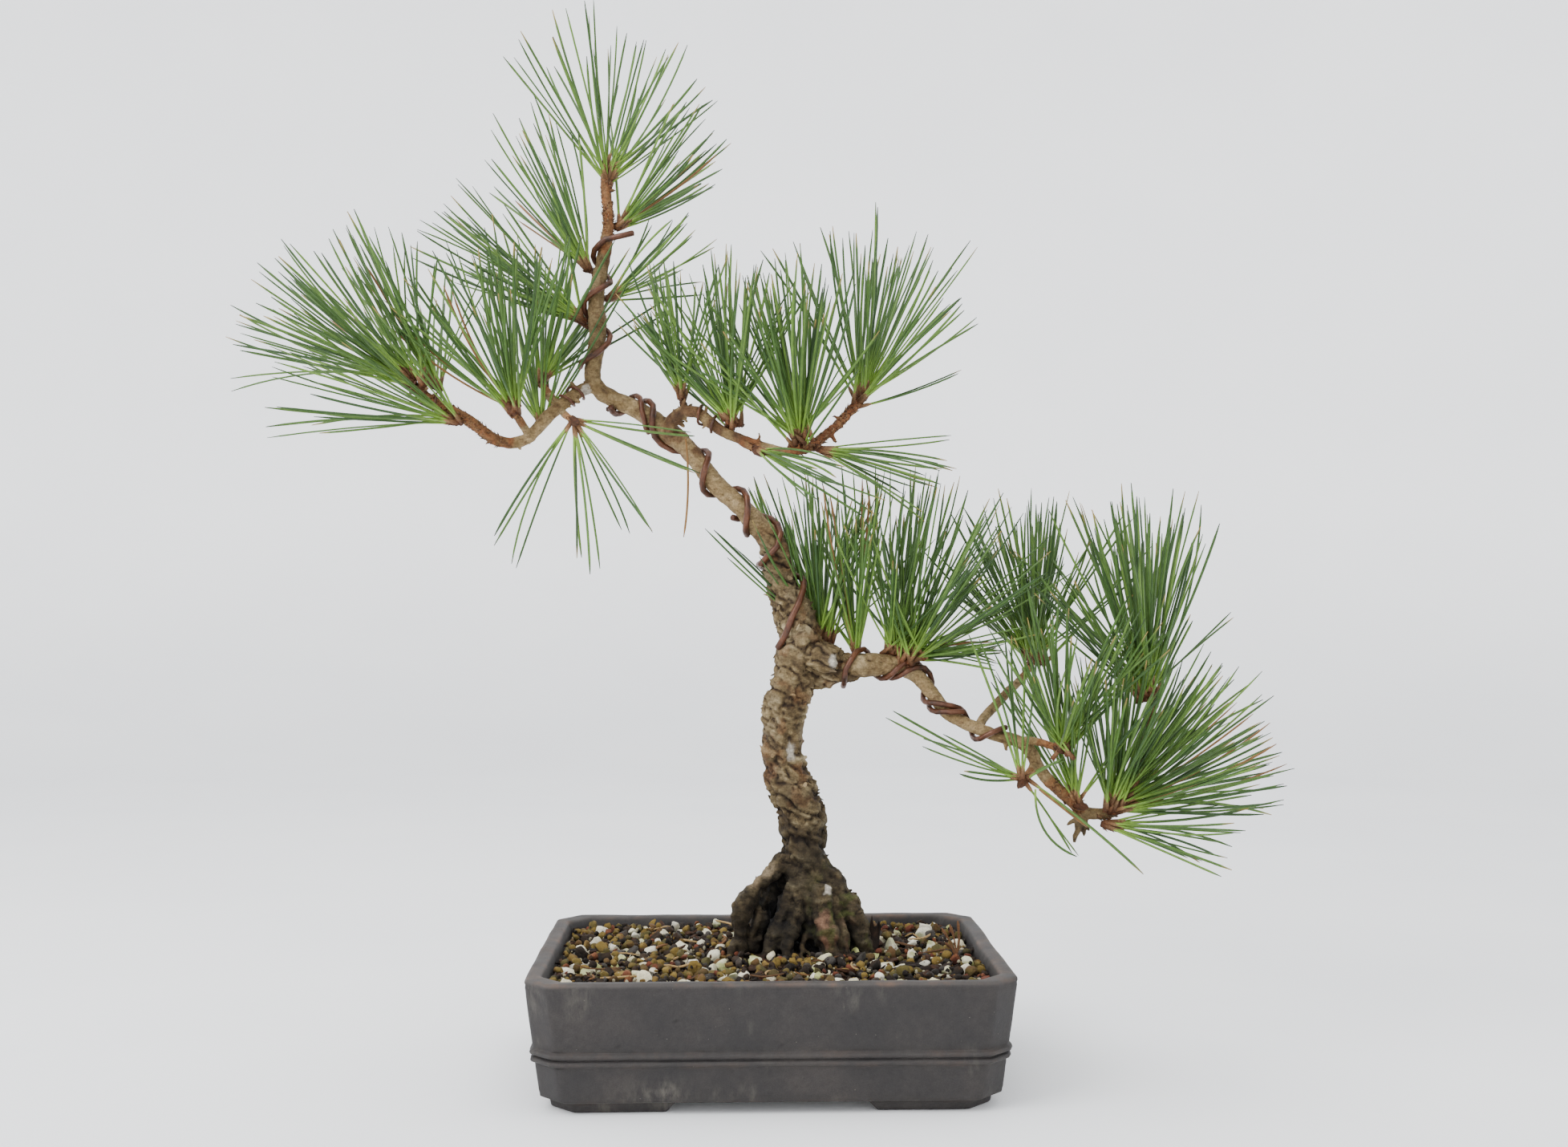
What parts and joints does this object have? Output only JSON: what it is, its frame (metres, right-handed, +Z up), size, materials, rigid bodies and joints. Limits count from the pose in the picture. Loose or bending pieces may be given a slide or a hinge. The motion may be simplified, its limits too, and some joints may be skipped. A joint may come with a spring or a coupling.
{
  "type": "potted bonsai tree",
  "caption": "Slender curved pine bonsai with wired branches and long needle tufts in a shallow rectangular unglazed pot with cut corners, a double rib and corner feet",
  "frame": {"origin": "middle of the pot's underside box, on the surface the feet stand on", "axes": "+X along the pot's long side towards the low branch, -Y is the viewing side, +Z up; the feet face -Z"},
  "size_m": [0.5697, 0.2162, 0.5531],
  "materials": {
    "stoneware": "unglazed, matt",
    "mesh_plastic": "matt",
    "clip_metal": "plain wire",
    "soil": "loose granules of pumice, fired clay, lava and bark",
    "old_bark": "flaking bark",
    "young_bark": "thin scaly bark",
    "anodised_wire": "brown anodised, satin",
    "needles": "waxy living needles"
  },
  "bodies": {
    "root": {"drainage_mesh_left": "mesh_plastic", "drainage_mesh_right": "mesh_plastic", "leader_wire": "anodised_wire", "left_branch": "young_bark", "left_branch_fork": "young_bark", "left_branch_front_twig": "young_bark", "left_branch_mid_spur": "young_bark", "left_branch_wire": "anodised_wire", "left_end_wire": "anodised_wire", "lower_branch_back_shoot": "young_bark", "lower_branch_end_shoot": "young_bark", "lower_branch_low_spur": "young_bark", "lower_branch_second_wire": "anodised_wire", "lower_branch_side_twig": "young_bark", "lower_branch_wire": "anodised_wire", "lower_right_branch": "young_bark", "mesh_clip_left": "clip_metal", "mesh_clip_right": "clip_metal", "needles_apex": "needles", "needles_back_shoot": "needles", "needles_branch_end": "needles", "needles_end_shoot_fan": "needles", "needles_end_shoot_low": "needles", "needles_end_shoot_top": "needles", "needles_knob": "needles", "needles_leader_left_high": "needles", "needles_leader_left_low": "needles", "needles_leader_right": "needles", "needles_leader_right_low": "needles", "needles_left_end": "needles", "needles_left_fork": "needles", "needles_left_hanging": "needles", "needles_left_inner": "needles", "needles_left_lower": "needles", "needles_left_mid": "needles", "needles_left_outer": "needles", "needles_low_spur": "needles", "needles_lower_inner": "needles", "needles_lower_second": "needles", "needles_lower_third": "needles", "needles_right_droop": "needles", "needles_right_end": "needles", "needles_right_hanging": "needles", "needles_right_inner": "needles", "needles_right_middle": "needles", "needles_right_second": "needles", "needles_side_twig": "needles", "pot": "stoneware", "second_trunk_wire": "anodised_wire", "soil_bed": "soil", "trunk": "old_bark", "trunk_wire": "anodised_wire", "upper_right_branch": "young_bark", "upper_right_hanging_spur": "young_bark", "upper_right_wire": "anodised_wire", "upper_trunk_wire": "anodised_wire"}
  },
  "joints": []
}
